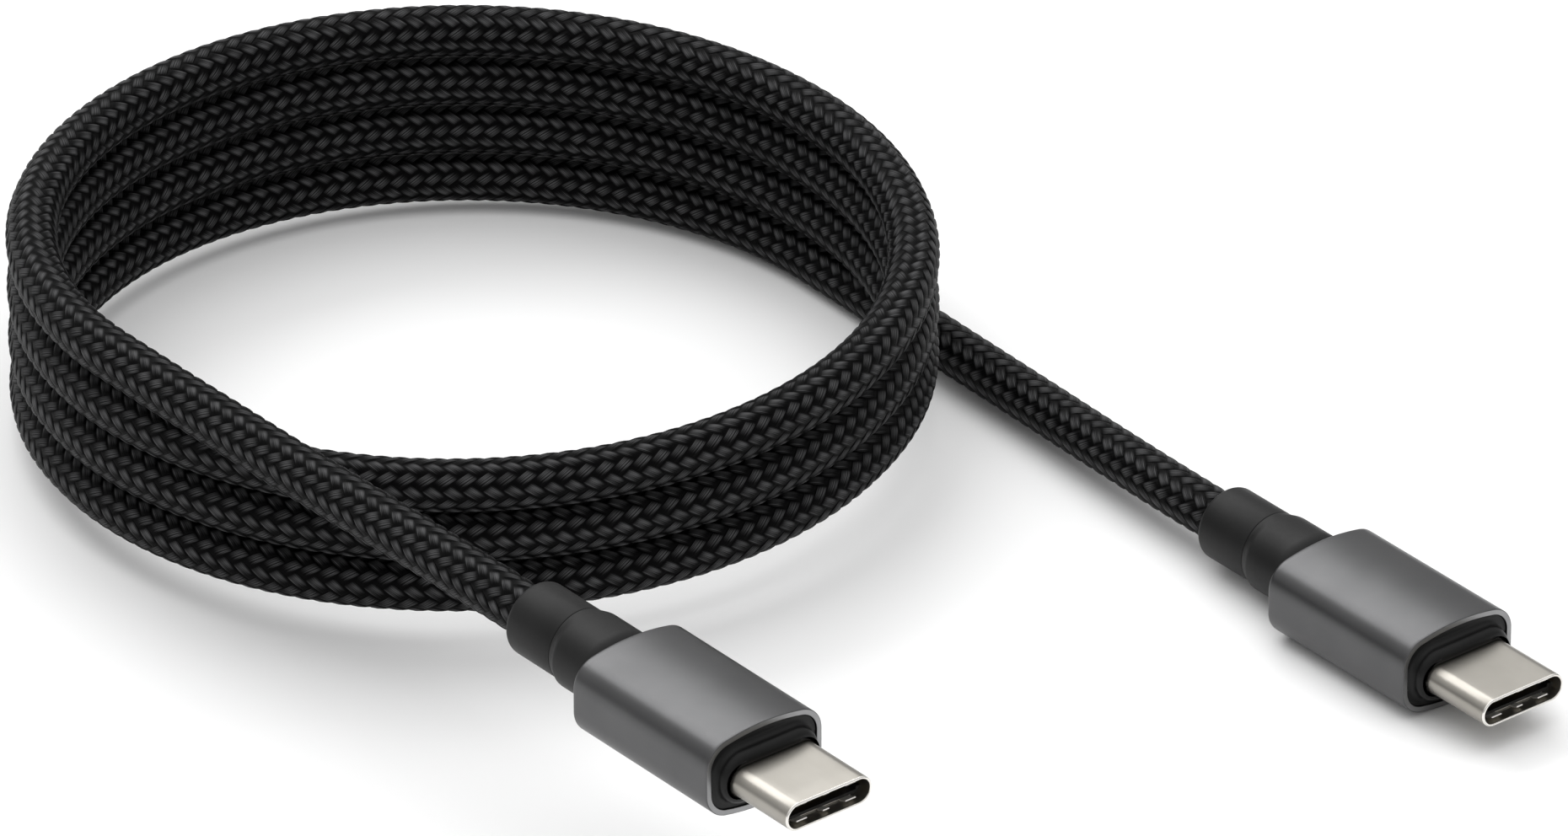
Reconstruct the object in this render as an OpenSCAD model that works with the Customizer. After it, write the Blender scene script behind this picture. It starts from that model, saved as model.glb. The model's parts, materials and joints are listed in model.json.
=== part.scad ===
// Braided charging cable: a stacked coil of cord with a plug on each end.
// +X is the way both plugs point, +Y runs from plug A to plug B, +Z is up.
// The origin is on the surface the cable lies on, midway between the plugs.

/* [Cord] */
// Diameter over the braid
cord_d = 4.2; // [3.8:0.1:4.4]
// Radius of the coil at the middle of the cord
coil_r = 35; // [34:0.5:36]
// Height that one turn of the coil climbs
coil_pitch = 4.48; // [4.4:0.02:4.6]
// Number of turns in the coil
coil_turns = 3.5; // [3.5]

/* [Plug places] */
// Distance from the origin to the middle of the coil, along -X
coil_back = 71.05; // [70:0.05:74]
// Distance of each plug from the origin, along -Y and +Y
plug_y = 33.04; // [32.6:0.02:33.4]
// How far plug B's tip lies ahead of plug A's
stagger = 3.55; // [3:0.05:4.4]

/* [Steel plug] */
// Width of the shell
shell_w = 8.25; // [8.25]
// Thickness of the shell
shell_t = 2.4; // [2.4]
// Wall of the shell
shell_wall = 0.22; // [0.2:0.01:0.24]
// Length of shell that stands out of the nose
shell_out = 6.65; // [6.2:0.05:6.65]

/* [Housing] */
// Length of the aluminium housing
housing_l = 16.2; // [16.2:0.1:17]
// Width of the housing
housing_w = 11.1; // [10.9:0.1:11.6]
// Thickness of the housing in the middle, over both arches
housing_t = 7.25; // [7:0.05:7.6]
// Radius of the arch across its top and its underside
housing_arch = 18; // [16:1:30]
// Wall of the housing
housing_wall = 0.49; // [0.45:0.01:0.6]
// Radius of the housing's long edges
housing_r = 2.3; // [2:0.1:2.6]
// Height of the nose's boss in front of the housing
nose_rise = 1.1; // [0.8:0.1:1.3]

/* [Boot] */
// Length of the flared neck behind the housing
neck_l = 6.0; // [5:0.1:7]
// Width of the neck
neck_w = 7.0; // [6.6:0.1:8]
// Length of the sleeve that grips the cord
sleeve_l = 5.5; // [5:0.1:8]
// Diameter of the sleeve
sleeve_d = 6.15; // [5.9:0.05:6.3]

/* [Hidden] */

$fn = 64;
gap = 0.03;                 // clearance between pieces that sit inside each other
cut = 1;                    // how far a cutter runs past the face it cuts
cord_r = cord_d / 2;

// Along one plug, x = 0 is the housing's front face and +x is towards the tip.
tip_x = nose_rise + shell_out;
neck_x = -housing_l - neck_l;
boot_x = neck_x - sleeve_l;
plug_l = tip_x - boot_x;
shell_back = -4.6;          // where the shell and the insulator end inside
nose_back = -1.6;
spigot_l = 1.1;             // how far the neck's spigot goes into the housing
spigot_x = -housing_l + spigot_l;
cord_end = -12.7;           // where the cord's jacket is cut back
mould_bore_front = -12.1;   // where the mould's hole for the ferrule ends
bore_r = cord_r + 0.05;     // hole for the cord in the boot

// Insulator: a slot for the mating tongue, and a solid block behind it
slot_w = 6.9;
slot_t = 1.1;
slot_back = 1.2;
insulator_x = 6.6;
latch_slot_t = 0.6;
spring_t = 0.12;
spring_back = 3.2;
spring_w = 6.0;
spring_z = shell_t / 2 - shell_wall - gap - spring_t;
tab_places = [[-2.35, 1.0], [0, 0.6], [2.35, 1.0]];

// Contacts: twelve in a row, half a millimetre apart
contact_n = 12;
contact_pitch = 0.5;
contact_w = 0.25;
contact_t = 0.15;
contact_back = -6.2;

// Latches: thin arms beside the slot, with hooks that point inwards
latch_pivot = -3.6;
latch_y = 3.38;
latch_t = 0.15;
latch_h = 0.4;

board_t = 0.8;
board_front = shell_back - 0.05;
board_back = -11.8;
board_w = 7.4;
can_front = -2.2;
can_back = -12.2;
can_w = 8.7;
can_t = 2.9;
can_wall = 0.2;
ferrule_t = 0.3;
ferrule_l = 2.3;
wire_r = 0.35;
fan_back = -12.4;           // the wires spread out from here
fan_front = -10.8;          // to here
wire_front = -9.8;

// Plug places
low_z = housing_t / 2;
high_z = cord_r + coil_turns * coil_pitch;
plug_b_x = (plug_l + stagger) / 2 - tip_x;
plug_a_x = plug_b_x - stagger;

coil_y = 1.26;               // the coil sits a little towards plug B
// Route of lead A: off the top turn, straight out to plug A and into its boot
lead_a_route = [
    [-coil_back, coil_y - coil_r, high_z], [-64.25, -33.74, high_z], [-56.25, -33.64, high_z],
    [-48.25, -33.54, high_z], [-40.25, -33.34, high_z], [-32.25, -33.14, high_z],
    [-24.25, -33.04, high_z], [plug_a_x + boot_x, -plug_y, high_z],
    [plug_a_x - housing_l, -plug_y, high_z], [plug_a_x + cord_end, -plug_y, high_z]
];
// Route of lead B: off the bottom turn, along the surface and up into plug B
lead_b_route = [
    [-coil_back, coil_y + coil_r, cord_r], [-64.25, 36.06, cord_r], [-56.25, 35.71, cord_r],
    [-48.25, 35.24, 2.3], [-40.25, 34.66, 2.6], [-32.25, 33.91, 3.05], [-24.25, 33.28, 3.45],
    [-19.25, 33.06, 3.6], [plug_b_x + boot_x, plug_y, low_z], [plug_b_x - housing_l, plug_y, low_z],
    [plug_b_x + cord_end, plug_y, low_z]
];

function unit(v) = v / norm(v);
function heading(path, i) = unit(path[min(i + 1, len(path) - 1)] - path[max(i - 1, 0)]);
function ring(path, i, r, n) =
    let (t = heading(path, i), side = unit(cross(t, [0, 0, 1])), top = cross(side, t))
    [for (k = [0 : n - 1]) path[i] + r * (cos(360 * k / n) * side + sin(360 * k / n) * top)];

// A tube with n sides along a path that is never vertical
module tube(path, r, n) {
    last = len(path) - 1;
    polyhedron(
        points = [for (i = [0 : last]) each ring(path, i, r, n)],
        faces = concat(
            [[for (k = [n - 1 : -1 : 0]) k], [for (k = [0 : n - 1]) last * n + k]],
            [for (i = [0 : last - 1], k = [0 : n - 1])
                [i * n + k, i * n + (k + 1) % n, (i + 1) * n + (k + 1) % n, (i + 1) * n + k]]
        )
    );
}

// Extrudes a profile in Y and Z from x = from to x = to
module along_x(from, to) {
    translate([from, 0, 0]) rotate([90, 0, 90]) linear_extrude(to - from) children();
}

module rounded(w, t, r) {
    square([w - 2 * r, t], center = true);
    square([w, t - 2 * r], center = true);
    for (sy = [-1, 1], sz = [-1, 1])
        translate([sy * (w / 2 - r), sz * (t / 2 - r)]) circle(r);
}

// A quarter of an arched outline, from its side up to the middle of its arch
function arched_quarter(w, t, r, arch) =
    let (cy = w / 2 - r, drop = arch - t / 2, cz = sqrt(pow(arch - r, 2) - pow(cy, 2)) - drop,
        meet = atan2(cz + drop, cy))
    concat(
        [for (k = [0 : 9]) [cy + r * cos(meet * k / 9), cz + r * sin(meet * k / 9)]],
        [for (k = [1 : 6]) let (a = meet + (90 - meet) * k / 6) [arch * cos(a), arch * sin(a) - drop]]
    );

// The housing's outline, set in by d all round: rounded corners that run into an arch above and below
module housing_outline(d) {
    q = arched_quarter(housing_w - 2 * d, housing_t - 2 * d, housing_r - d, housing_arch - d);
    last = len(q) - 1;
    polygon(concat(
        q,
        [for (k = [last - 1 : -1 : 0]) [-q[k][0], q[k][1]]],
        [for (k = [0 : last]) [-q[k][0], -q[k][1]]],
        [for (k = [last - 1 : -1 : 0]) [q[k][0], -q[k][1]]]
    ));
}

module stadium(w, t) {
    square([w - t, t], center = true);
    for (s = [-1, 1]) translate([s * (w - t) / 2, 0]) circle(d = t);
}

// Block from x0 to x1, centred on y, from z0 to z1
module block(x0, x1, y, w, z0, z1) {
    translate([x0, y - w / 2, z0]) cube([x1 - x0, w, z1 - z0]);
}

module cord_coil() {
    top = high_z + cord_r;
    color("#1c1c1e")
        translate([-coil_back, coil_y, 0]) rotate_extrude($fn = 96)
            translate([coil_r, top / 2]) union() {
                square([cord_d, top - cord_d], center = true);
                for (s = [-1, 1]) translate([0, s * (top / 2 - cord_r)]) circle(cord_r, $fn = 32);
            }
}

module cord_lead_a() {
    color("#1c1c1e") tube(lead_a_route, cord_r, 12);
}

module cord_lead_b() {
    color("#1c1c1e") tube(lead_b_route, cord_r, 12);
}

module plug_shell() {
    color("#c3beb6") difference() {
        along_x(shell_back, tip_x) stadium(shell_w, shell_t);
        along_x(shell_back - cut, tip_x + cut)
            stadium(shell_w - 2 * shell_wall, shell_t - 2 * shell_wall);
    }
}

module contact_grooves() {
    for (i = [0 : contact_n - 1], s = [-1, 1]) {
        y = (i - (contact_n - 1) / 2) * contact_pitch;
        z = s * (board_t + contact_t) / 2;
        half = contact_t / 2 + gap;
        block(shell_back - cut, slot_back + cut, y, contact_w + 2 * gap, z - half, z + half);
    }
}

module insulator() {
    wall_z = shell_t / 2 - shell_wall - gap;
    color("#161618") difference() {
        along_x(shell_back, insulator_x) stadium(shell_w - 2 * (shell_wall + gap), 2 * wall_z);
        block(slot_back, insulator_x + cut, 0, slot_w, -slot_t / 2, slot_t / 2);
        contact_grooves();
        for (s = [-1, 1]) {
            block(shell_back + 0.2, insulator_x + cut, s * 3.75, 1.0, -latch_slot_t / 2, latch_slot_t / 2);
            mirror([0, 0, (1 - s) / 2])
                block(spring_back - gap, insulator_x + cut, 0, spring_w + 2 * gap,
                    spring_z - gap, wall_z + cut);
        }
    }
}

// Side view of one spring contact, from its solder tail to its front
module contact_profile() {
    z0 = board_t / 2;
    z1 = z0 + contact_t;
    polygon([
        [contact_back, z0], [4.3, z0], [4.8, z0 - 0.1], [5.3, z0 - 0.1], [5.7, z0 + 0.02],
        [5.7, z0 + 0.12], [5.3, z0 + 0.02], [4.9, z0 + 0.02], [4.4, z1], [contact_back, z1]
    ]);
}

module contacts() {
    color("#c9a14a")
        for (i = [0 : contact_n - 1])
            translate([0, (i - (contact_n - 1) / 2) * contact_pitch, 0])
                rotate([90, 0, 0]) linear_extrude(contact_w, center = true) contact_profile();
}

module tab_profile() {
    polygon([
        [6.5, spring_z], [6.7, spring_z], [7.3, 0.62], [7.35, 0.7],
        [6.8, spring_z + spring_t], [6.5, spring_z + spring_t]
    ]);
}

module ground_spring() {
    color("#b8b5ae") union() {
        block(spring_back, 6.5, 0, spring_w, spring_z, spring_z + spring_t);
        for (tab = tab_places)
            translate([0, tab[0], 0]) rotate([90, 0, 0])
                linear_extrude(tab[1], center = true) tab_profile();
    }
}

// The latch on the +Y side
module latch() {
    color("#aaa79f")
        linear_extrude(latch_h, center = true) polygon([
            [latch_pivot - 0.5, latch_y], [4.5, latch_y], [4.9, latch_y - 0.28], [5.2, latch_y - 0.28],
            [5.7, latch_y + 0.05], [5.7, latch_y + latch_t + 0.05], [5.3, latch_y + latch_t],
            [latch_pivot - 0.5, latch_y + latch_t]
        ]);
}

module paddle_board() {
    color("#1f5a36") block(board_back, board_front, 0, board_w, -board_t / 2, board_t / 2);
}

module bypass_capacitor() {
    color("#a58a68") block(-9.2, -8.2, 2.9, 0.5, board_t / 2, board_t / 2 + 0.5);
}

module marker_chip() {
    color("#202022") block(-9.2, -7.2, 0, 2.0, board_t / 2, board_t / 2 + 0.6);
}

module shield_can_half() {
    color("#a9adb0") difference() {
        along_x(can_back, can_front) rounded(can_w, can_t, 1.35);
        along_x(can_back - cut, can_front + cut)
            rounded(can_w - 2 * can_wall, can_t - 2 * can_wall, 1.15);
        block(can_back - cut, can_front + cut, 0, can_w + cut, -can_t, gap / 2);
    }
}

module inner_mould() {
    color("#d8d6cf") difference() {
        along_x(spigot_x + gap, nose_back - gap) housing_outline(housing_wall + gap);
        along_x(can_back - gap, 0) rounded(can_w + 2 * gap, can_t + 2 * gap, 1.35);
        translate([spigot_x, 0, 0]) rotate([0, 90, 0])
            cylinder(r = bore_r + ferrule_t + gap, h = mould_bore_front - spigot_x);
    }
}

module nose_insert() {
    face = -0.1;
    color("#19191b") difference() {
        union() {
            along_x(nose_back, face) housing_outline(housing_wall + gap);
            along_x(face - 0.1, nose_rise) rounded(9.3, 4.4, 2.1);
        }
        along_x(nose_back - cut, tip_x) stadium(shell_w + 2 * gap, shell_t + 2 * gap);
    }
}

module housing() {
    color("#8e8f91") difference() {
        along_x(-housing_l, 0) housing_outline(0);
        along_x(-housing_l - cut, cut) housing_outline(housing_wall);
    }
}

module boot_neck() {
    color("#3a3a3c") difference() {
        union() {
            along_x(neck_x, -housing_l) stadium(neck_w, sleeve_d - 0.05);
            along_x(-housing_l - 0.1, spigot_x) housing_outline(housing_wall + gap);
        }
        translate([neck_x - cut, 0, 0]) rotate([0, 90, 0])
            cylinder(r = bore_r, h = neck_l + spigot_l + 2 * cut);
    }
}

module boot_sleeve() {
    edge = 0.5;
    color("#343436") translate([boot_x, 0, 0]) rotate([0, 90, 0]) rotate_extrude() union() {
        translate([bore_r, 0]) square([sleeve_d / 2 - edge - bore_r, sleeve_l]);
        translate([bore_r, edge]) square([sleeve_d / 2 - bore_r, sleeve_l - edge]);
        translate([sleeve_d / 2 - edge, edge]) circle(edge, $fn = 32);
    }
}

module crimp_ferrule() {
    color("#b6b9bb") translate([cord_end - ferrule_l, 0, 0]) rotate([0, 90, 0]) difference() {
        cylinder(r = bore_r + ferrule_t, h = ferrule_l);
        translate([0, 0, -cut]) cylinder(r = bore_r, h = ferrule_l + 2 * cut);
    }
}

// A wire from the cord's end, at y0, to its pad on the board, at y1
module wire(y0, y1, side) {
    z = side * (board_t / 2 + wire_r + gap);
    tube([[cord_end + gap, y0, z], [fan_back, y0, z], [fan_front, y1, z], [wire_front, y1, z]], wire_r, 10);
}

module power_wire() {
    color("#b3261e") wire(-1.28, -1.95, 1);
}

module ground_wire() {
    color("#111112") wire(0, 0, -1);
}

module data_plus_wire() {
    color("#2c8f45") wire(-0.42, -0.85, 1);
}

module data_minus_wire() {
    color("#ececea") wire(0.42, 0.85, 1);
}

module sense_wire() {
    color("#2b59b5") wire(1.28, 1.95, 1);
}

module at_a() {
    translate([plug_a_x, -plug_y, high_z]) children();
}

module at_b() {
    translate([plug_b_x, plug_y, low_z]) children();
}

module below() {
    mirror([0, 0, 1]) children();
}

module other_side() {
    mirror([0, 1, 0]) children();
}

cord_coil();
cord_lead_a();
cord_lead_b();

at_a() plug_shell();  // plug_a_shell
at_a() insulator();  // plug_a_insulator
at_a() contacts();  // plug_a_upper_contacts
at_a() below() contacts();  // plug_a_lower_contacts
at_a() ground_spring();  // plug_a_upper_ground_spring
at_a() below() ground_spring();  // plug_a_lower_ground_spring
at_a() latch();  // plug_a_left_latch
at_a() other_side() latch();  // plug_a_right_latch
at_a() paddle_board();  // plug_a_paddle_board
at_a() below() bypass_capacitor();  // plug_a_bypass_capacitor
at_a() below() marker_chip();  // plug_a_marker_chip
at_a() shield_can_half();  // plug_a_upper_shield_can
at_a() below() shield_can_half();  // plug_a_lower_shield_can
at_a() inner_mould();  // plug_a_inner_mould
at_a() nose_insert();  // plug_a_nose_insert
at_a() housing();  // plug_a_housing
at_a() boot_neck();  // plug_a_boot_neck
at_a() boot_sleeve();  // plug_a_boot_sleeve
at_a() crimp_ferrule();  // plug_a_crimp_ferrule
at_a() power_wire();  // plug_a_power_wire
at_a() ground_wire();  // plug_a_ground_wire
at_a() data_plus_wire();  // plug_a_data_plus_wire
at_a() data_minus_wire();  // plug_a_data_minus_wire
at_a() sense_wire();  // plug_a_sense_wire

at_b() plug_shell();  // plug_b_shell
at_b() insulator();  // plug_b_insulator
at_b() contacts();  // plug_b_upper_contacts
at_b() below() contacts();  // plug_b_lower_contacts
at_b() ground_spring();  // plug_b_upper_ground_spring
at_b() below() ground_spring();  // plug_b_lower_ground_spring
at_b() latch();  // plug_b_left_latch
at_b() other_side() latch();  // plug_b_right_latch
at_b() paddle_board();  // plug_b_paddle_board
at_b() below() bypass_capacitor();  // plug_b_bypass_capacitor
at_b() shield_can_half();  // plug_b_upper_shield_can
at_b() below() shield_can_half();  // plug_b_lower_shield_can
at_b() inner_mould();  // plug_b_inner_mould
at_b() nose_insert();  // plug_b_nose_insert
at_b() housing();  // plug_b_housing
at_b() boot_neck();  // plug_b_boot_neck
at_b() boot_sleeve();  // plug_b_boot_sleeve
at_b() crimp_ferrule();  // plug_b_crimp_ferrule
at_b() power_wire();  // plug_b_power_wire
at_b() ground_wire();  // plug_b_ground_wire
at_b() data_plus_wire();  // plug_b_data_plus_wire
at_b() data_minus_wire();  // plug_b_data_minus_wire
at_b() sense_wire();  // plug_b_sense_wire
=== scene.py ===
"""Looks of the braided charging cable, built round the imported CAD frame.

Lengths are in metres, except inside the plug pieces, which use millimetres in the plug's own frame:
x is 0 at the housing's front face and grows towards the tip, y is sideways and z is up.
"""

import json
import math

import bpy
import numpy as np
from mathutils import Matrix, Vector


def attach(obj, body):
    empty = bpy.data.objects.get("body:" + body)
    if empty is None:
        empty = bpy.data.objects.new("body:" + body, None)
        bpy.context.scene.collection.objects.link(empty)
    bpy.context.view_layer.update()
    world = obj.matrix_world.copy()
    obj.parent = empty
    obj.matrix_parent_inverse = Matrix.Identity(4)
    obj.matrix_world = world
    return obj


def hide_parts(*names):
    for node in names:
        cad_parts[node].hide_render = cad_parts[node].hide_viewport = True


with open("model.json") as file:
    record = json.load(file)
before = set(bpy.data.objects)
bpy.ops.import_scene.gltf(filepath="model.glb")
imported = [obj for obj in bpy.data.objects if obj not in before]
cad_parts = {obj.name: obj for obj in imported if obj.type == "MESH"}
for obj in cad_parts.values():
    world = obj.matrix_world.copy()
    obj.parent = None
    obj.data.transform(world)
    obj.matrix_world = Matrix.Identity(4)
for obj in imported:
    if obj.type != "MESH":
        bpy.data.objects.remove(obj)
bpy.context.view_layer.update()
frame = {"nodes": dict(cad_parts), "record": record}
NODES = frame["nodes"]
MM = 0.001

# Camera
AZIMUTH = math.radians(51.0)
ELEVATION = math.radians(29.78)
DISTANCE = 1.2878
FOCAL_LENGTH = 370.1    # millimetres, on a sensor SENSOR_WIDTH wide
SENSOR_WIDTH = 36.0
TARGET = Vector((-0.05538, 0.02034, 0.0))

# Cord
CORD_D = 0.0042
COIL_CENTRE = (-0.07105, 0.00126)
COIL_RADIUS = 0.035
COIL_PITCH = 0.00448
COIL_TURNS = 3.5
COIL_TOP = 0.01778      # middle of the cord in the highest turn
COIL_LOW = CORD_D / 2   # and in the lowest
STEPS_PER_TURN = 180
STEPS_PER_LEAD_SPAN = 12
BOOT_OVERLAP = 0.0016   # how far the cord runs inside each boot

# Braid: twelve strands each way round, each over two and under two
STRANDS = 12
LAY = 0.0179
PAD_HEIGHT = 0.00013    # how far a strand's crown stands above its edges
PAD_STEPS = (0.0, 0.07, 0.35, 0.65, 0.93)
WEAVE_PERIOD = 4        # cells after which the weave repeats
CROWN_POWER, CROWN_EASE = 4, 0.5
ARCH_EASE = 0.85

# Plugs: the middle of each housing's front face, and from there back to the boot's end
PLUG_A = Vector((0.0082, -0.03304, COIL_TOP))
PLUG_B = Vector((0.01175, 0.03304, 0.003625))
BOOT_BACK = 0.0277

# Housing profile in millimetres: width, thickness over both arches, corner radius, arch radius
HOUSING = (11.1, 7.25, 2.3, 18.0)
HOUSING_WALL = 0.49
HOUSING_BACK = -16.2


# ---------------------------------------------------------------- camera

def make_camera():
    data = bpy.data.cameras.new("camera")
    camera = bpy.data.objects.new("camera", data)
    bpy.context.scene.collection.objects.link(camera)
    back = Vector((
        math.sin(AZIMUTH) * math.cos(ELEVATION),
        -math.cos(AZIMUTH) * math.cos(ELEVATION),
        math.sin(ELEVATION),
    ))
    camera.location = TARGET + back * DISTANCE
    camera.rotation_mode = "QUATERNION"
    camera.rotation_quaternion = (-back).to_track_quat("-Z", "Y")
    data.sensor_width = SENSOR_WIDTH
    data.sensor_fit = "HORIZONTAL"
    data.lens = FOCAL_LENGTH
    data.clip_start = 0.05
    data.clip_end = 20.0
    bpy.context.scene.camera = camera


make_camera()


# ---------------------------------------------------------------- cord

def smooth_curve(points, steps):
    """A Catmull-Rom curve through the points, without its last point."""
    p = np.array(points)
    p = np.vstack([2 * p[0] - p[1], p, 2 * p[-1] - p[-2]])
    u = np.linspace(0, 1, steps, endpoint=False)[:, None]
    parts = []
    for a, b, c, d in zip(p[:-3], p[1:-2], p[2:-1], p[3:]):
        parts.append(0.5 * (2 * b + (c - a) * u + (2 * a - 5 * b + 4 * c - d) * u ** 2
                            + (3 * b - a - 3 * c + d) * u ** 3))
    return np.vstack(parts)


def coil_line():
    turn = np.linspace(0, COIL_TURNS, int(COIL_TURNS * STEPS_PER_TURN) + 1)
    angle = -math.pi / 2 - 2 * math.pi * turn
    return np.column_stack([
        COIL_CENTRE[0] + COIL_RADIUS * np.cos(angle),
        COIL_CENTRE[1] + COIL_RADIUS * np.sin(angle),
        COIL_TOP - COIL_PITCH * turn,
    ])


def cord_line():
    """The cord's centreline, from inside plug A's boot to inside plug B's."""
    top = COIL_TOP
    exit_a, exit_b = PLUG_A.x - BOOT_BACK, PLUG_B.x - BOOT_BACK
    lead_a = [
        (exit_a + BOOT_OVERLAP, PLUG_A.y, top), (exit_a, PLUG_A.y, top), (-0.02425, PLUG_A.y, top),
        (-0.03225, -0.03314, top), (-0.04025, -0.03334, top), (-0.04825, -0.03354, top),
        (-0.05625, -0.03364, top), (-0.06425, -0.03374, top),
        (COIL_CENTRE[0], COIL_CENTRE[1] - COIL_RADIUS, top),
    ]
    lead_b = [
        (COIL_CENTRE[0], COIL_CENTRE[1] + COIL_RADIUS, COIL_LOW), (-0.06425, 0.03606, COIL_LOW),
        (-0.05625, 0.03571, COIL_LOW), (-0.04825, 0.03524, 0.0023), (-0.04025, 0.03466, 0.0026),
        (-0.03225, 0.03391, 0.00305), (-0.02425, 0.03328, 0.00345), (-0.01925, 0.03306, 0.0036),
        (exit_b, PLUG_B.y, PLUG_B.z), (exit_b + BOOT_OVERLAP, PLUG_B.y, PLUG_B.z),
    ]
    to_coil = smooth_curve(lead_a, STEPS_PER_LEAD_SPAN)
    from_coil = smooth_curve(lead_b, STEPS_PER_LEAD_SPAN)[1:]
    return np.vstack([to_coil, coil_line(), from_coil, [lead_b[-1]]])


def along_line(line, distances):
    """Points at these distances along the line, and the directions side and top there."""
    step = np.linalg.norm(np.diff(line, axis=0), axis=1)
    reach = np.concatenate([[0], np.cumsum(step)])
    at = np.column_stack([np.interp(distances, reach, line[:, k]) for k in range(3)])
    heading = np.gradient(line, reach, axis=0)
    heading = np.column_stack([np.interp(distances, reach, heading[:, k]) for k in range(3)])
    heading /= np.linalg.norm(heading, axis=1)[:, None]
    side = np.cross(heading, (0, 0, 1))
    side /= np.linalg.norm(side, axis=1)[:, None]
    return at, side, np.cross(side, heading)


def line_length(line):
    return float(np.linalg.norm(np.diff(line, axis=0), axis=1).sum())


def top_strand(a, b):
    """The weave cell (i, j) of each point, whether the strand on top there runs the S way, and the
    cell (start_i, start_j) where that strand comes up."""
    i, j = np.floor(a), np.floor(b)
    phase = np.mod(i + j, WEAVE_PERIOD)
    return i, j, phase < 2, np.where(phase == 3, i - 1, i), np.where(phase == 1, j - 1, j)


def pad_height(a, b):
    """How far the cord's surface stands above the strands' edges at each point of the weave."""
    i, j, s_way, start_i, start_j = top_strand(a, b)
    across = np.where(s_way, a - i, b - j)
    along = np.where(s_way, (b - start_j) / 2, (a - start_i) / 2)
    crown = np.clip(1 - np.abs(2 * across - 1) ** CROWN_POWER, 0, 1) ** CROWN_EASE
    arch = np.clip(np.sin(math.pi * along), 0, 1) ** ARCH_EASE
    return PAD_HEIGHT * crown * arch


def braided_cord(name, line):
    """One closed mesh whose quads follow the strands of the braid."""
    n = len(PAD_STEPS)
    length = line_length(line)
    rows = round(length / (LAY / (2 * STRANDS)))
    row_length = length / rows
    columns, levels = STRANDS * n, rows * n
    column, level = np.meshgrid(np.arange(columns), np.arange(levels + 1), indexing="xy")
    column, level = column.ravel(), level.ravel()
    steps = np.array(PAD_STEPS)
    a = column // n + steps[column % n]
    b = (column + level) // n + steps[(column + level) % n]
    distance = (b - a) * row_length
    angle = math.pi * (a + b) / STRANDS
    at, side, top = along_line(line, distance)
    radius = CORD_D / 2 - PAD_HEIGHT + pad_height(a, b)
    points = at + radius[:, None] * (np.cos(angle)[:, None] * side + np.sin(angle)[:, None] * top)
    ends = np.array([line[0], line[-1]])
    points = np.vstack([points, ends])

    def vertex(c, k):
        return k * columns + c % columns

    c, k = np.meshgrid(np.arange(columns), np.arange(1, levels), indexing="xy")
    c, k = c.ravel(), k.ravel()
    quads = np.column_stack([
        vertex(c, k + 1), vertex(c + 1, k), vertex(c + 1, k - 1), vertex(c, k),
    ])
    c = np.arange(columns)
    first, last = len(points) - 2, len(points) - 1
    triangles = np.vstack([
        np.column_stack([vertex(c, 1), vertex(c + 1, 0), vertex(c, 0)]),
        np.column_stack([vertex(c, levels), vertex(c + 1, levels), vertex(c + 1, levels - 1)]),
        np.column_stack([vertex(c, 0), vertex(c + 1, 0), np.full(columns, first)]),
        np.column_stack([vertex(c + 1, levels), vertex(c, levels), np.full(columns, last)]),
    ])
    mesh = bpy.data.meshes.new(name)
    mesh.from_pydata(points.tolist(), [], quads.tolist() + triangles.tolist())
    lay_strand_coordinates(mesh, quads, np.append(a, [0, 0]), np.append(b, [0, 0]))
    mesh.polygons.foreach_set("use_smooth", np.ones(len(mesh.polygons), dtype=bool))
    mesh.validate()
    obj = bpy.data.objects.new(name, mesh)
    bpy.context.scene.collection.objects.link(obj)
    return obj


def lay_strand_coordinates(mesh, quads, a, b):
    """UV map: u across the strand and v along it. S strands take u from 0 to 1, Z from 2 to 3."""
    low_a, low_b = a[quads[:, 3]], b[quads[:, 3]]
    width = np.mod(a[quads[:, 2]] - low_a, STRANDS)
    height = np.mod(b[quads[:, 0]] - low_b, STRANDS)
    i, j, s_way, start_i, start_j = top_strand(low_a + width / 2, low_b + height / 2)
    uv = np.zeros((len(mesh.loops), 2), dtype=np.float32)
    corners = ((0, 1), (1, 1), (1, 0), (0, 0))
    for place, (da, db) in enumerate(corners):
        at_a, at_b = low_a + da * width, low_b + db * height
        u = np.where(s_way, at_a - i, at_b - j + 2)
        v = np.where(s_way, (at_b - start_j) / 2, (at_a - start_i) / 2)
        index = np.arange(len(quads)) * 4 + place
        uv[index, 0], uv[index, 1] = u, v
    layer = mesh.uv_layers.new(name="strands")
    layer.data.foreach_set("uv", uv.ravel())


LINE = cord_line()
cord = braided_cord("braided_cord", LINE)


# ---------------------------------------------------------------- lofted plug pieces

def rounded(width, height, radius, corner=14, flat=12):
    """A rounded rectangle as (y, z) pairs."""
    points = []
    cy, cz = width / 2 - radius, height / 2 - radius
    for sy, sz, start in ((1, 1, 0), (-1, 1, 90), (-1, -1, 180), (1, -1, 270)):
        for k in range(corner + 1):
            t = math.radians(start + 90 * k / corner)
            points.append((sy * cy + radius * math.cos(t), sz * cz + radius * math.sin(t)))
        end = points[-1]
        nxt = {0: (-cy, height / 2), 90: (-width / 2, -cz), 180: (cy, -height / 2),
               270: (width / 2, cz)}[start]
        for k in range(1, flat):
            w = k / flat
            points.append((end[0] + (nxt[0] - end[0]) * w, end[1] + (nxt[1] - end[1]) * w))
    return points


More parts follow.
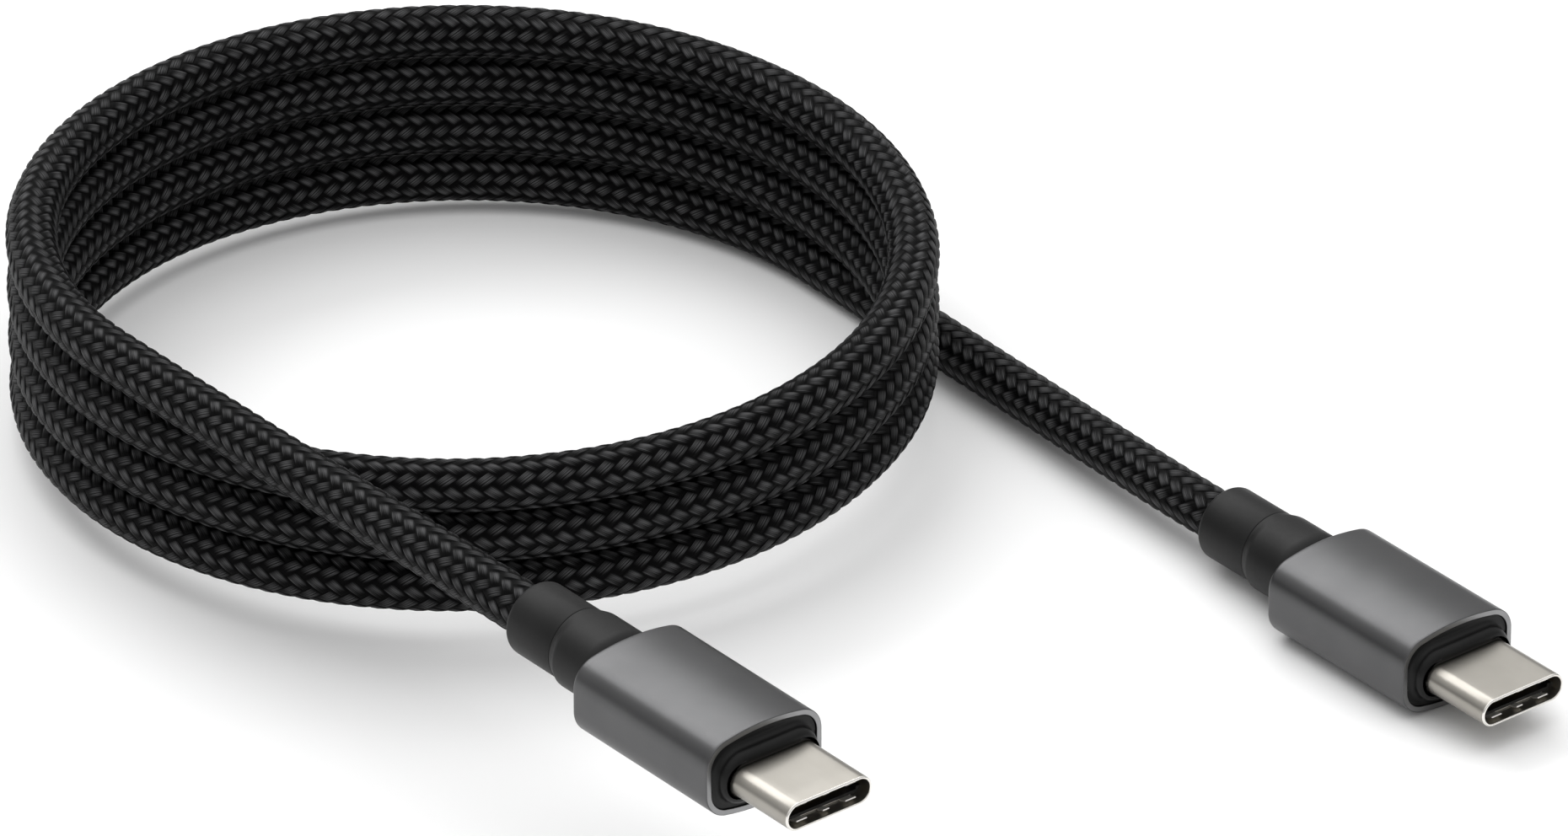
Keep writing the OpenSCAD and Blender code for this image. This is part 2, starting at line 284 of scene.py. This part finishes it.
def arched(inset, corner=14, flat=12):
    """The housing's outline, set in all round, as (y, z) pairs in the order of rounded()."""
    width, height, radius, arch = HOUSING
    cy = width / 2 - radius
    drop = arch - height / 2
    cz = math.sqrt((arch - radius) ** 2 - cy ** 2) - drop
    meet = math.atan2(cz + drop, cy)
    half, small, large = width / 2 - inset, radius - inset, arch - inset

    def corner_arc(y, z, start):
        angles = [start + meet * k / corner for k in range(corner + 1)]
        return [(y + small * math.cos(t), z + small * math.sin(t)) for t in angles]

    def arch_arc(start, z):
        angles = [start + (math.pi - 2 * meet) * k / flat for k in range(1, flat)]
        return [(large * math.cos(t), large * math.sin(t) + z) for t in angles]

    heights = [cz - 2 * cz * k / flat for k in range(1, flat)]
    points = corner_arc(cy, cz, 0) + arch_arc(meet, -drop) + corner_arc(-cy, cz, math.pi - meet)
    points += [(-half, z) for z in heights]
    points += corner_arc(-cy, -cz, math.pi) + arch_arc(math.pi + meet, drop)
    points += corner_arc(cy, -cz, 2 * math.pi - meet) + [(half, -z) for z in heights]
    return points


def polar(width, height, count=96):
    """A circle or a wide oval as (y, z) pairs at even angles."""
    ease = 3
    flat = (width - height) / 2
    radius = height / 2
    points = []
    for k in range(count):
        t = 2 * math.pi * k / count
        cy, cz = math.cos(t), math.sin(t)
        shift = math.copysign(flat, cy) * min(1.0, abs(cy) * ease)
        points.append((shift + radius * cy, radius * cz))
    return points


def ring_mesh(name, rings, plug, second=()):
    """Skins closed loops, each (x, [(y, z), ...]) in millimetres, and joins the last to the first.
    The bands listed in second take the piece's second material."""
    count = len(rings[0][1])
    points, faces = [], []
    for x, loop in rings:
        points += [tuple(plug + Vector((x, y, z)) * MM) for y, z in loop]
    for r in range(len(rings)):
        s = (r + 1) % len(rings)
        for k in range(count):
            m = (k + 1) % count
            faces.append((r * count + k, r * count + m, s * count + m, s * count + k))
    mesh = bpy.data.meshes.new(name)
    mesh.from_pydata(points, [], faces)
    mesh.polygons.foreach_set("use_smooth", [True] * len(faces))
    bands = [r for r in range(len(rings)) for _ in range(count)]
    mesh.polygons.foreach_set("material_index", [int(r in second) for r in bands])
    mesh.validate()
    obj = bpy.data.objects.new(name, mesh)
    bpy.context.scene.collection.objects.link(obj)
    return obj


def edge(face_x, inwards, radius, steps=5):
    """A rounded edge as (x, inset) pairs, from the face to the side. inwards is +1 or -1."""
    pairs = []
    for k in range(steps + 1):
        t = math.pi / 2 * k / steps
        pairs.append((face_x + inwards * radius * (1 - math.cos(t)), radius * (1 - math.sin(t))))
    return pairs


def housing(name, plug):
    wall, back = HOUSING_WALL, HOUSING_BACK
    rear_edge, rim_edge, inner_edge = 0.3, 0.06, 0.05
    support, land = 0.25, 0.03
    middle, behind_rim, inner_middle = -8.0, -0.3, -9.0
    pairs = edge(back, 1, rear_edge)
    pairs += [(back + rear_edge + support, 0.0), (middle, 0.0), (-rim_edge - support, 0.0)]
    pairs += edge(0.0, -1, rim_edge, 3)[::-1]
    rim = len(pairs) - 1
    pairs += [(0.0, rim_edge + land), (0.0, wall - inner_edge - land)]
    pairs += [(x, wall - inset) for x, inset in edge(0.0, -1, inner_edge, 3)]
    pairs += [(behind_rim, wall), (inner_middle, wall)]
    pairs += [(back + inner_edge, wall), (back, wall - inner_edge)]
    return ring_mesh(name, [(x, arched(inset)) for x, inset in pairs], plug, range(rim, rim + 3))


def nose_insert(name, plug):
    face, front, back = -0.1, 1.1, -1.6
    gap = 0.03
    fit = HOUSING_WALL + gap
    boss = (9.3, 4.4, 2.1)
    hole = (8.31, 2.46, 1.229)
    root, shoulder, lip, mouth_edge, mouth_land = 0.5, 0.65, 0.02, 0.06, 0.3
    root_steps = 5

    def inset(shape, d):
        return rounded(shape[0] - 2 * d, shape[1] - 2 * d, shape[2] - d)

    rings = [(back, arched(fit))]
    rings += [(x, arched(fit + d)) for x, d in edge(face, -1, lip, 2)[::-1]]
    for k in range(root_steps + 1):
        t = math.pi / 2 * k / root_steps
        rings.append((face + root * (1 - math.cos(t)), inset(boss, -root * (1 - math.sin(t)))))
    rings += [(x, inset(boss, d)) for x, d in edge(front, -1, shoulder, 7)[::-1]]
    rings += [(front, inset(hole, -mouth_land)), (front, inset(hole, -mouth_edge)),
              (front - mouth_edge, inset(hole, 0.0)), (back, inset(hole, 0.0))]
    return ring_mesh(name, rings, plug)


def shell(name, plug):
    width, height, wall = 8.25, 2.4, 0.22
    tip, back, inner_support = 7.75, -4.6, 5.0
    outer_lip, inner_lip = 0.13, 0.08

    def loop(inset):
        h = height - 2 * inset
        return rounded(width - 2 * inset, h, h / 2 - 0.001, corner=20)

    pairs = [(back, 0.0), (0.0, 0.0), (3.0, 0.0), (6.0, 0.0)]
    lip = len(pairs)
    pairs += edge(tip, -1, outer_lip, 6)[::-1]
    pairs += [(x, wall - d) for x, d in edge(tip, -1, inner_lip, 4)]
    # The lip's bands take the shell's second material, a painted highlight
    lip_bands = range(lip, len(pairs) - 1)
    pairs += [(inner_support, wall), (back, wall)]
    return ring_mesh(name, [(x, loop(inset)) for x, inset in pairs], plug, lip_bands)


def boot_sleeve(name, plug):
    back, front = -27.7, -22.2
    radius, bore, rear_edge, groove, bore_edge = 3.075, 2.15, 0.5, 0.07, 0.1
    pairs = [(x, radius - d) for x, d in edge(back, 1, rear_edge, 8)]
    pairs += [(x, radius - d) for x, d in edge(front, -1, groove, 3)[::-1]]
    pairs += [(front, bore), (back + bore_edge, bore), (back, bore + bore_edge)]
    return ring_mesh(name, [(x, polar(2 * r, 2 * r)) for x, r in pairs], plug)


def boot_neck(name, plug):
    back, front, spigot = -22.2, HOUSING_BACK - 0.02, -15.1
    start, wide, high, bore, groove, flare = 6.15, 7.0, 6.1, 2.15, 0.07, 1.1
    flare_steps, spigot_shape = 8, (5.1, 4.95)
    rings = []
    for x, d in edge(back, 1, groove, 3):
        rings.append((x, polar(start - 2 * d, start - 2 * d)))
    for k in range(1, flare_steps + 1):
        w = k / flare_steps
        ease = w * w * (3 - 2 * w)
        rings.append((back + groove + (flare - groove) * w,
                      polar(start + (wide - start) * ease, start + (high - start) * ease)))
    rings += [(x, polar(wide, high)) for x in (-20.0, -18.0, front)]
    rings += [(front, polar(*spigot_shape)), (spigot, polar(*spigot_shape)),
              (spigot, polar(2 * bore, 2 * bore)), (back, polar(2 * bore, 2 * bore))]
    return ring_mesh(name, rings, plug)


MAKERS = {
    "housing": (housing, "housing_aluminium"),
    "nose_insert": (nose_insert, "nose_plastic"),
    "shell": (shell, "plug_steel"),
    "boot_sleeve": (boot_sleeve, "boot_plastic"),
    "boot_neck": (boot_neck, "boot_plastic"),
}
plug_pieces = {"plug_a": {}, "plug_b": {}}
for plug_name, place in (("plug_a", PLUG_A), ("plug_b", PLUG_B)):
    for part, (maker, slot_name) in MAKERS.items():
        node = f"{plug_name}_{part}"
        piece = maker(f"{node}_skin", place)
        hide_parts(node)
        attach(piece, "cable")
        plug_pieces[plug_name][part] = piece


# ---------------------------------------------------------------- materials

class Paint:
    """A Principled material whose colour, roughness and bump come from procedural nodes."""

    def __init__(self, name, coordinates="Object"):
        self.material = bpy.data.materials.new(name)
        self.material.use_nodes = True
        self.tree = self.material.node_tree
        self.shader = self.tree.nodes["Principled BSDF"]
        self.coordinates = self.tree.nodes.new("ShaderNodeTexCoord").outputs[coordinates]

    def link(self, a, b):
        self.tree.links.new(a, b)

    def mapped(self, scale):
        node = self.tree.nodes.new("ShaderNodeMapping")
        node.inputs["Scale"].default_value = scale
        self.link(self.coordinates, node.inputs["Vector"])
        return node.outputs["Vector"]

    def noise(self, scale, detail, stretch=(1, 1, 1)):
        node = self.tree.nodes.new("ShaderNodeTexNoise")
        node.inputs["Scale"].default_value = scale
        node.inputs["Detail"].default_value = detail
        self.link(self.mapped(stretch), node.inputs["Vector"])
        return node.outputs["Fac"]

    def ramp(self, value, low, high, start=0.3, end=0.7):
        node = self.tree.nodes.new("ShaderNodeValToRGB")
        node.color_ramp.elements[0].position = start
        node.color_ramp.elements[1].position = end
        node.color_ramp.elements[0].color = (*low, 1)
        node.color_ramp.elements[1].color = (*high, 1)
        self.link(value, node.inputs["Fac"])
        return node.outputs["Color"]

    def spread(self, value, low, high, start=0.0, end=1.0):
        node = self.tree.nodes.new("ShaderNodeMapRange")
        node.inputs["From Min"].default_value = start
        node.inputs["From Max"].default_value = end
        node.inputs["To Min"].default_value = low
        node.inputs["To Max"].default_value = high
        self.link(value, node.inputs["Value"])
        return node.outputs["Result"]

    def maths(self, operation, a, b=None):
        node = self.tree.nodes.new("ShaderNodeMath")
        node.operation = operation
        for socket, value in zip(node.inputs, (a, b)):
            if value is None:
                continue
            if isinstance(value, (int, float)):
                socket.default_value = value
            else:
                self.link(value, socket)
        return node.outputs[0]

    def colour(self, value):
        self.link(value, self.shader.inputs["Base Color"])

    def roughness(self, value):
        self.link(value, self.shader.inputs["Roughness"])

    def bump(self, value, distance, strength):
        node = self.tree.nodes.new("ShaderNodeBump")
        node.inputs["Distance"].default_value = distance
        node.inputs["Strength"].default_value = strength
        self.link(value, node.inputs["Height"])
        self.link(node.outputs["Normal"], self.shader.inputs["Normal"])

    def fixed(self, socket, value):
        self.shader.inputs[socket].default_value = value


def braid_material():
    """Black nylon strands with fine filaments along them, with painted shade where they dive under
    each other and a painted highlight along each float.
    """
    paint = Paint("braid", "UV")
    filaments = paint.noise(1.0, 2.0, (16.0, 0.6, 1.0))
    split = paint.tree.nodes.new("ShaderNodeSeparateXYZ")
    paint.link(paint.coordinates, split.inputs[0])
    across = paint.maths("PINGPONG", paint.maths("FRACT", split.outputs["X"]), 0.5)
    along = split.outputs["Y"]
    steepness = 9.0
    # Painted shade: the colour darkens over each strand's edges and towards its ends, where it
    # dives under its neighbours
    side = paint.maths("MINIMUM", paint.maths("MULTIPLY", across, steepness), 1.0)
    to_end = paint.maths("PINGPONG", along, 0.5)
    end = paint.maths("MINIMUM", paint.maths("MULTIPLY", to_end, steepness), 1.0)
    # Painted highlight: a lit swell along each float, skewed towards where the strand comes up
    skewed = paint.maths("POWER", paint.maths("MAXIMUM", along, 0.0), 0.7)
    hump = paint.maths("SINE", paint.maths("MULTIPLY", skewed, math.pi))
    painted_highlight = paint.spread(paint.maths("POWER", paint.maths("ABSOLUTE", hump), 2.4), 0.01, 1.0)
    painted_shade_and_highlight = paint.maths("MULTIPLY", paint.maths("MULTIPLY", side, end), painted_highlight)
    paint.coordinates = paint.tree.nodes.new("ShaderNodeTexCoord").outputs["Object"]
    wander = paint.spread(paint.noise(700.0, 1.0), 0.45, 1.55)
    streaks = paint.spread(filaments, 0.02, 1.1, 0.36, 0.66)
    tone = paint.maths("MULTIPLY", painted_shade_and_highlight, paint.maths("MULTIPLY", streaks, wander))
    # From the near-black painted shade up to the grey of the painted highlight; the filament
    # streaks and the wander are the strands' own tone
    paint.colour(paint.ramp(tone, (0.0006, 0.0006, 0.0007), (0.078, 0.078, 0.08), 0.08, 1.0))
    paint.roughness(paint.spread(filaments, 0.36, 0.6))
    paint.bump(filaments, 0.00004, 0.8)
    paint.fixed("Specular IOR Level", 0.05)
    return paint.material


def anodised_material():
    paint = Paint("housing_aluminium")
    grain = paint.noise(9000, 3.0)
    cloud = paint.noise(260, 2.0)
    paint.colour(paint.ramp(cloud, (0.096, 0.096, 0.098), (0.106, 0.106, 0.108)))
    paint.roughness(paint.spread(grain, 0.30, 0.42))
    paint.bump(grain, 0.000004, 0.4)
    paint.fixed("Metallic", 1.0)
    return paint.material


def steel_material():
    paint = Paint("plug_steel")
    drawn = paint.noise(2500, 3.0, (0.08, 1, 1))
    cloud = paint.noise(350, 2.0)
    paint.colour(paint.ramp(cloud, (0.345, 0.328, 0.296), (0.37, 0.352, 0.32)))
    paint.roughness(paint.spread(drawn, 0.29, 0.38))
    paint.bump(drawn, 0.000003, 0.3)
    paint.fixed("Metallic", 1.0)
    return paint.material


def moulded_material(name, low, high, rough_low, rough_high, grain=4000, depth=0.000008,
                     specular=0.5):
    """Moulded plastic, rubber or a coating: a fine grain and a faint change of tone."""
    paint = Paint(name)
    fine = paint.noise(grain, 4.0)
    paint.colour(paint.ramp(paint.noise(grain / 12, 2.0), low, high))
    paint.roughness(paint.spread(fine, rough_low, rough_high))
    paint.bump(fine, depth, 0.5)
    paint.fixed("Specular IOR Level", specular)
    return paint.material


def metal_material(name, low, high, rough_low, rough_high):
    paint = Paint(name)
    fine = paint.noise(5000, 3.0, (0.2, 1, 1))
    paint.colour(paint.ramp(paint.noise(500, 2.0), low, high))
    paint.roughness(paint.spread(fine, rough_low, rough_high))
    paint.bump(fine, 0.000003, 0.3)
    paint.fixed("Metallic", 1.0)
    return paint.material


def grey(value):
    return (value,) * 3


WIRE_ROUGH = (0.35, 0.45)

# Moulded pieces: two tones, then the roughness range
MOULDED = {
    "insulator_plastic": (grey(0.004), grey(0.007), 0.4, 0.5),
    "board_laminate": ((0.02, 0.15, 0.06), (0.03, 0.19, 0.08), 0.3, 0.45),
    "capacitor_ceramic": ((0.38, 0.27, 0.16), (0.45, 0.33, 0.21), 0.3, 0.4),
    "chip_black": (grey(0.012), grey(0.02), 0.5, 0.65),
    "mould_plastic": ((0.64, 0.63, 0.58), (0.72, 0.71, 0.66), 0.45, 0.6),
    "wire_red": ((0.40, 0.018, 0.012), (0.47, 0.025, 0.018), *WIRE_ROUGH),
    "wire_black": (grey(0.009), grey(0.014), *WIRE_ROUGH),
    "wire_green": ((0.025, 0.22, 0.05), (0.035, 0.27, 0.07), *WIRE_ROUGH),
    "wire_white": ((0.76, 0.76, 0.74), (0.82, 0.82, 0.8), *WIRE_ROUGH),
    "wire_blue": ((0.025, 0.07, 0.38), (0.035, 0.09, 0.45), *WIRE_ROUGH),
}
DULL_SPECULAR = 0.22
DULL = {
    "nose_plastic": (grey(0.003), grey(0.005), 0.36, 0.46),
    "boot_plastic": (grey(0.006), grey(0.009), 0.44, 0.54),
}
METALS = {
    "contact_gold": ((0.72, 0.50, 0.18), (0.80, 0.58, 0.24), 0.18, 0.3),
    "spring_steel": ((0.86, 0.84, 0.80), (0.92, 0.90, 0.86), 0.42, 0.55),
    "can_steel": ((0.56, 0.57, 0.58), (0.63, 0.64, 0.65), 0.25, 0.4),
    "ferrule_aluminium": ((0.62, 0.63, 0.64), (0.7, 0.71, 0.72), 0.28, 0.4),
}

MATERIALS = {
    "braid": braid_material(),
    "housing_aluminium": anodised_material(),
    "plug_steel": steel_material(),
}
MATERIALS.update((k, moulded_material(k, *v, specular=DULL_SPECULAR)) for k, v in DULL.items())
MATERIALS.update((k, moulded_material(k, *v)) for k, v in MOULDED.items())
MATERIALS.update((k, metal_material(k, *v)) for k, v in METALS.items())

# The bare metal of the housing's rim, and a painted highlight on the shell's lip in steel brighter
# than the shell's own, as a piece's second material
RIM_METAL_AND_LIP_HIGHLIGHT = {
    "housing": metal_material("rim_aluminium", (0.25, 0.25, 0.253), (0.29, 0.29, 0.293), 0.3, 0.4),
    # Painted highlight: the lip is the shell's steel painted brighter
    "shell": metal_material("lip_steel_painted_highlight", (0.80, 0.78, 0.74), (0.86, 0.84, 0.80), 0.2, 0.3),
}


def dress(obj, material):
    if not obj.data.materials:
        obj.data.materials.append(material)
    for k in range(len(obj.material_slots)):
        obj.material_slots[k].material = material


for subpart in frame["record"]["subparts"]:
    dress(NODES[subpart["node"]], MATERIALS[subpart["material_slot"]])
for pieces in plug_pieces.values():
    for part, piece in pieces.items():
        dress(piece, MATERIALS[MAKERS[part][1]])
        if part in RIM_METAL_AND_LIP_HIGHLIGHT:
            piece.data.materials.append(RIM_METAL_AND_LIP_HIGHLIGHT[part])
dress(cord, MATERIALS["braid"])

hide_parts("cord_coil", "cord_lead_a", "cord_lead_b")
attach(cord, "cable")


# ---------------------------------------------------------------- studio

def area_light(name, place, target, width, height, power):
    data = bpy.data.lights.new(name, "AREA")
    data.shape = "RECTANGLE"
    data.size, data.size_y = width, height
    data.energy = power
    light = bpy.data.objects.new(name, data)
    bpy.context.scene.collection.objects.link(light)
    light.location = place
    light.rotation_mode = "QUATERNION"
    light.rotation_quaternion = (Vector(target) - Vector(place)).to_track_quat("-Z", "Y")
    return light


def floor():
    half, drop = 6.0, 0.00002
    mesh = bpy.data.meshes.new("floor")
    mesh.from_pydata([(-half, -half, 0), (half, -half, 0), (half, half, 0), (-half, half, 0)], [],
                     [(0, 1, 2, 3)])
    obj = bpy.data.objects.new("floor", mesh)
    bpy.context.scene.collection.objects.link(obj)
    obj.location.z = -drop
    dress(obj, moulded_material("floor_paint", grey(0.88), grey(0.9), 0.7, 0.8, 400, 0.000001))


def sky():
    """A pale surround that grows brighter from the horizon to overhead."""
    world = bpy.data.worlds.new("studio")
    world.use_nodes = True
    tree = world.node_tree
    place = tree.nodes.new("ShaderNodeTexCoord")
    split = tree.nodes.new("ShaderNodeSeparateXYZ")
    level = tree.nodes.new("ShaderNodeMapRange")
    horizon, overhead = 0.28, 1.2
    level.inputs["To Min"].default_value = horizon
    level.inputs["To Max"].default_value = overhead
    tree.links.new(place.outputs["Generated"], split.inputs[0])
    tree.links.new(split.outputs["Z"], level.inputs["Value"])
    tree.links.new(level.outputs["Result"], tree.nodes["Background"].inputs["Strength"])
    tree.nodes["Background"].inputs["Color"].default_value = (1, 1, 1, 1)
    bpy.context.scene.world = world


def studio():
    sky()
    bpy.context.scene.view_settings.view_transform = "Standard"
    middle = (-0.05, 0.0, 0.01)
    area_light("back_softbox", (-1.13, 0.19, 1.19), middle, 1.5, 0.56, 9.5)
    # The fill has no image of its own in the satin metal
    fill = area_light("top_fill", (-0.1, -0.1, 1.6), middle, 1.8, 1.8, 9.0)
    fill.visible_glossy = False


floor()
studio()
